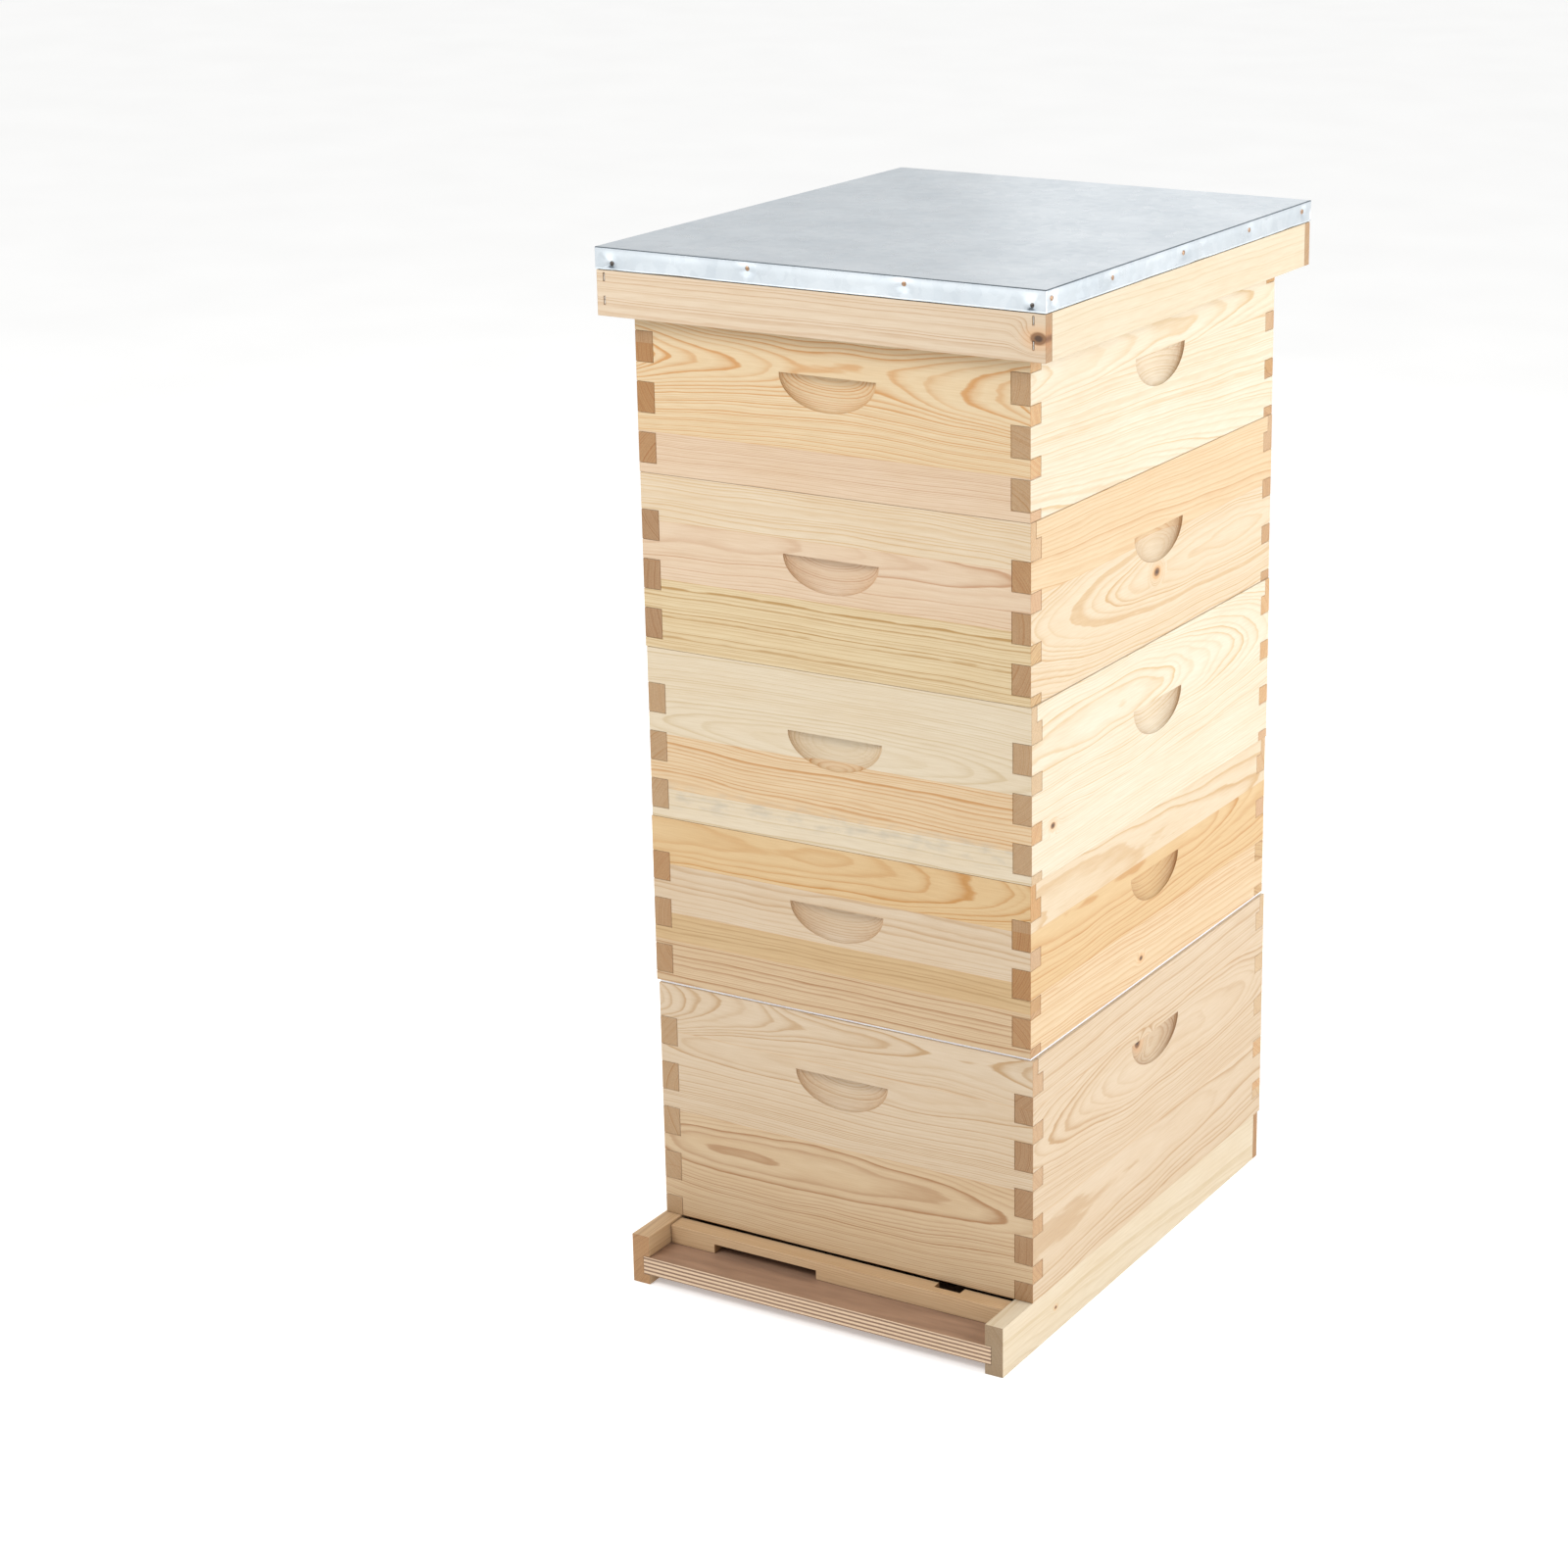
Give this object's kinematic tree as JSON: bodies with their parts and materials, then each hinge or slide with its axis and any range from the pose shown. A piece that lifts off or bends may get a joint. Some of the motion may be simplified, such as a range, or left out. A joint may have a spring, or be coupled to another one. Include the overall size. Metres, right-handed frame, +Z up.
{
  "type": "beehive",
  "caption": "Stacked wooden beehive: bottom board with entrance reducer, deep brood box, queen excluder, medium supers with hanging frames, inner cover and metal-topped telescoping cover.",
  "frame": {"origin": "middle of the overall footprint, on the ground", "axes": "+Z up, the entrance and landing board towards -Y, +X to the right seen from the front"},
  "size_m": [0.466, 0.583, 1.016],
  "materials": {
    "pine": "planed, unpainted pine",
    "frame_wood": "planed pine with pale comb foundation",
    "floor_board": "plywood with a brown face",
    "galvanised_sheet": "spangled galvanised sheet",
    "excluder_plastic": "white moulded plastic"
  },
  "bodies": {
    "bottom_board": {"bottom_rail_left": "pine", "bottom_rail_right": "pine", "bottom_rail_back": "pine", "floor_panel": "floor_board"},
    "entrance_reducer": {"entrance_reducer": "pine"},
    "brood_box": {"brood_box_front": "pine", "brood_box_back": "pine", "brood_box_left": "pine", "brood_box_right": "pine"},
    "brood_frames": {"brood_frame_01": "frame_wood", "brood_frame_02": "frame_wood", "brood_frame_03": "frame_wood", "brood_frame_04": "frame_wood", "brood_frame_05": "frame_wood", "brood_frame_06": "frame_wood", "brood_frame_07": "frame_wood", "brood_frame_08": "frame_wood", "brood_frame_09": "frame_wood", "brood_frame_10": "frame_wood"},
    "queen_excluder": {"queen_excluder": "excluder_plastic"},
    "super_1": {"super_1_front": "pine", "super_1_back": "pine", "super_1_left": "pine", "super_1_right": "pine"},
    "super_1_frames": {"super_1_frame_set": "frame_wood"},
    "super_2": {"super_2_front": "pine", "super_2_back": "pine", "super_2_left": "pine", "super_2_right": "pine"},
    "super_2_frames": {"super_2_frame_set": "frame_wood"},
    "super_3": {"super_3_front": "pine", "super_3_back": "pine", "super_3_left": "pine", "super_3_right": "pine"},
    "super_3_frames": {"super_3_frame_set": "frame_wood"},
    "super_4": {"super_4_front": "pine", "super_4_back": "pine", "super_4_left": "pine", "super_4_right": "pine"},
    "super_4_frames": {"super_4_frame_01": "frame_wood", "super_4_frame_02": "frame_wood", "super_4_frame_03": "frame_wood", "super_4_frame_04": "frame_wood", "super_4_frame_05": "frame_wood", "super_4_frame_06": "frame_wood", "super_4_frame_07": "frame_wood", "super_4_frame_08": "frame_wood", "super_4_frame_09": "frame_wood", "super_4_frame_10": "frame_wood"},
    "inner_cover": {"inner_cover_panel": "floor_board", "inner_cover_rim_front": "pine", "inner_cover_rim_back": "pine", "inner_cover_rim_left": "pine", "inner_cover_rim_right": "pine"},
    "outer_cover": {"outer_cover_sheet": "galvanised_sheet", "outer_cover_deck": "floor_board", "outer_cover_rim_front": "pine", "outer_cover_rim_back": "pine", "outer_cover_rim_left": "pine", "outer_cover_rim_right": "pine"}
  },
  "joints": [
    {"name": "entrance_reducer_slide", "type": "slide", "parent": "bottom_board", "child": "entrance_reducer", "axis": [0, -1, 0], "range_m": [-0.0185, 0.0385]},
    {"name": "brood_box_lift", "type": "slide", "parent": "bottom_board", "child": "brood_box", "axis": [0, 0, 1], "range_m": [0, 0.1]},
    {"name": "queen_excluder_lift", "type": "slide", "parent": "brood_box", "child": "queen_excluder", "axis": [0, 0, 1], "range_m": [0, 0.37]},
    {"name": "super_1_lift", "type": "slide", "parent": "queen_excluder", "child": "super_1", "axis": [0, 0, 1], "range_m": [0, 0.1]},
    {"name": "super_2_lift", "type": "slide", "parent": "super_1", "child": "super_2", "axis": [0, 0, 1], "range_m": [0, 0.26]},
    {"name": "super_3_lift", "type": "slide", "parent": "super_2", "child": "super_3", "axis": [0, 0, 1], "range_m": [0, 0.26]},
    {"name": "super_4_lift", "type": "slide", "parent": "super_3", "child": "super_4", "axis": [0, 0, 1], "range_m": [0, 0.26]},
    {"name": "inner_cover_lift", "type": "slide", "parent": "super_4", "child": "inner_cover", "axis": [0, 0, 1], "range_m": [0, 0.26]},
    {"name": "outer_cover_lift", "type": "slide", "parent": "inner_cover", "child": "outer_cover", "axis": [0, 0, 1], "range_m": [0, 0.12]},
    {"name": "brood_frames_lift", "type": "slide", "parent": "brood_box", "child": "brood_frames", "axis": [0, 0, 1], "range_m": [0, 0.2405]},
    {"name": "super_1_frames_lift", "type": "slide", "parent": "super_1", "child": "super_1_frames", "axis": [0, 0, 1], "range_m": [0, 0.169]},
    {"name": "super_2_frames_lift", "type": "slide", "parent": "super_2", "child": "super_2_frames", "axis": [0, 0, 1], "range_m": [0, 0.169]},
    {"name": "super_3_frames_lift", "type": "slide", "parent": "super_3", "child": "super_3_frames", "axis": [0, 0, 1], "range_m": [0, 0.169]},
    {"name": "super_4_frames_lift", "type": "slide", "parent": "super_4", "child": "super_4_frames", "axis": [0, 0, 1], "range_m": [0, 0.169]}
  ],
  "couplings": [
    {"joint": "brood_frames_lift", "follows": "queen_excluder_lift", "ratio": 0.65},
    {"joint": "super_1_frames_lift", "follows": "super_2_lift", "ratio": 0.65},
    {"joint": "super_2_frames_lift", "follows": "super_3_lift", "ratio": 0.65},
    {"joint": "super_3_frames_lift", "follows": "super_4_lift", "ratio": 0.65},
    {"joint": "super_4_frames_lift", "follows": "inner_cover_lift", "ratio": 0.65}
  ]
}
